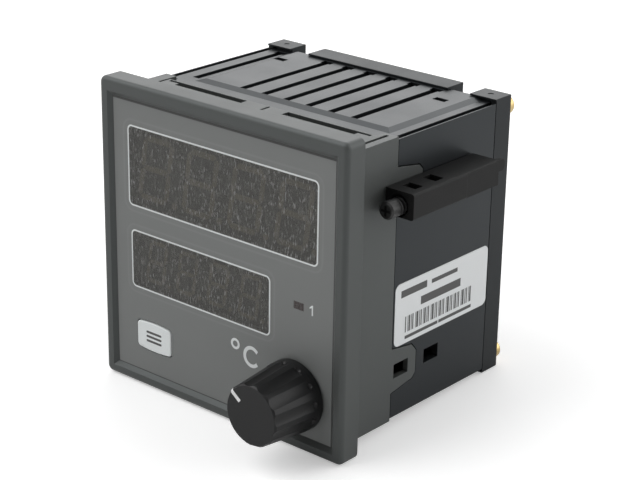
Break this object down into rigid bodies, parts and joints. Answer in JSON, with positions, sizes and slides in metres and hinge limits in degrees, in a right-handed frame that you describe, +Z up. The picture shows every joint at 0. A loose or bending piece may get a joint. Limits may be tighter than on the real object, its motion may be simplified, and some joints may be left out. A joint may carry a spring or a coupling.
{
  "type": "pid temperature controller",
  "caption": "Square panel-mounted temperature controller with display windows, setpoint knob, programming key, vented case, rear screw terminals and side brackets with clamp screws.",
  "frame": {"origin": "centre of the front frame's rear face, which bears on the panel", "axes": "+X right as the operator sees it, +Y from the operator into the panel, +Z up"},
  "size_m": [0.1106, 0.0996, 0.096],
  "materials": {
    "bezel_plastic": "fine matt grey moulding",
    "panel_film": "satin printed film, mid grey",
    "display_filter": "dark smoky glossy window",
    "status_lens": "dark glossy lens",
    "module_plastic": "dark grey face with pale segments",
    "lamp_plastic": "red tinted lens",
    "key_plastic": "light grey satin key",
    "switch_plastic": "black moulding",
    "knob_plastic": "dark grey satin knob",
    "pointer_white": "white pointer line",
    "pot_metal": "plated metal",
    "circuit_board": "green solder mask",
    "plain_screws": "bright zinc plate",
    "case_plastic": "black satin moulding",
    "cover_plastic": "black satin moulding",
    "yellow_screws": "yellow passivated zinc plate",
    "bracket_plastic": "black satin moulding",
    "clamp_screws": "plated steel thread",
    "terminal_plastic": "black terminal moulding",
    "transformer_iron": "varnished core and taped coil",
    "relay_plastic": "dark blue-black relay housing",
    "capacitor_can": "sleeved can",
    "varistor_coat": "blue epoxy coat",
    "chip_plastic": "black chip package",
    "label_paper": "white satin label"
  },
  "bodies": {
    "housing": {"bezel_frame": "bezel_plastic", "front_panel_film": "panel_film", "upper_display_filter": "display_filter", "lower_display_filter": "display_filter", "status_window": "status_lens", "upper_digit_module": "module_plastic", "lower_digit_module": "module_plastic", "status_led": "lamp_plastic", "key_switch_body": "switch_plastic", "potentiometer_body": "pot_metal", "potentiometer_washer": "pot_metal", "potentiometer_nut": "pot_metal", "display_board": "circuit_board", "display_board_screws": "plain_screws", "case_shell": "case_plastic", "rear_cover": "cover_plastic", "rear_cover_screws": "yellow_screws", "upper_terminal_block": "terminal_plastic", "lower_terminal_block": "terminal_plastic", "upper_terminal_screws": "plain_screws", "lower_terminal_screws": "plain_screws", "measuring_board": "circuit_board", "power_board": "circuit_board", "board_headers": "switch_plastic", "transformer": "transformer_iron", "output_relay": "relay_plastic", "filter_capacitors": "capacitor_can", "fuse": "switch_plastic", "surge_varistor": "varistor_coat", "microcontroller": "chip_plastic", "converter_chip": "chip_plastic", "side_label": "label_paper"},
    "knob": {"setpoint_knob": "knob_plastic", "knob_pointer": "pointer_white", "potentiometer_shaft": "pot_metal"},
    "key": {"program_key": "key_plastic", "key_switch_plunger": "switch_plastic"},
    "right_clip": {"right_bracket": "bracket_plastic"},
    "left_clip": {"left_bracket": "bracket_plastic"},
    "right_screw": {"right_clamp_screw": "clamp_screws"},
    "left_screw": {"left_clamp_screw": "clamp_screws"}
  },
  "joints": [
    {"name": "knob_turn", "type": "hinge", "parent": "housing", "child": "knob", "pos_m": [0.0296, -0.015, -0.0313], "axis": [0, 1, 0], "range_deg": [-97.3, 202.7]},
    {"name": "key_press", "type": "slide", "parent": "housing", "child": "key", "axis": [0, 1, 0], "range_m": [0, 0.0004], "stiffness_N_per_m": 1500, "springref_m": -0.0002},
    {"name": "right_clip_slide", "type": "slide", "parent": "housing", "child": "right_clip", "axis": [0, 1, 0], "range_m": [-0.0022, 0]},
    {"name": "left_clip_slide", "type": "slide", "parent": "housing", "child": "left_clip", "axis": [0, 1, 0], "range_m": [-0.0022, 0]},
    {"name": "right_screw_advance", "type": "slide", "parent": "right_clip", "child": "right_screw", "axis": [0, 1, 0], "range_m": [-0.004, 0.003]},
    {"name": "left_screw_advance", "type": "slide", "parent": "left_clip", "child": "left_screw", "axis": [0, 1, 0], "range_m": [-0.004, 0.003]}
  ]
}
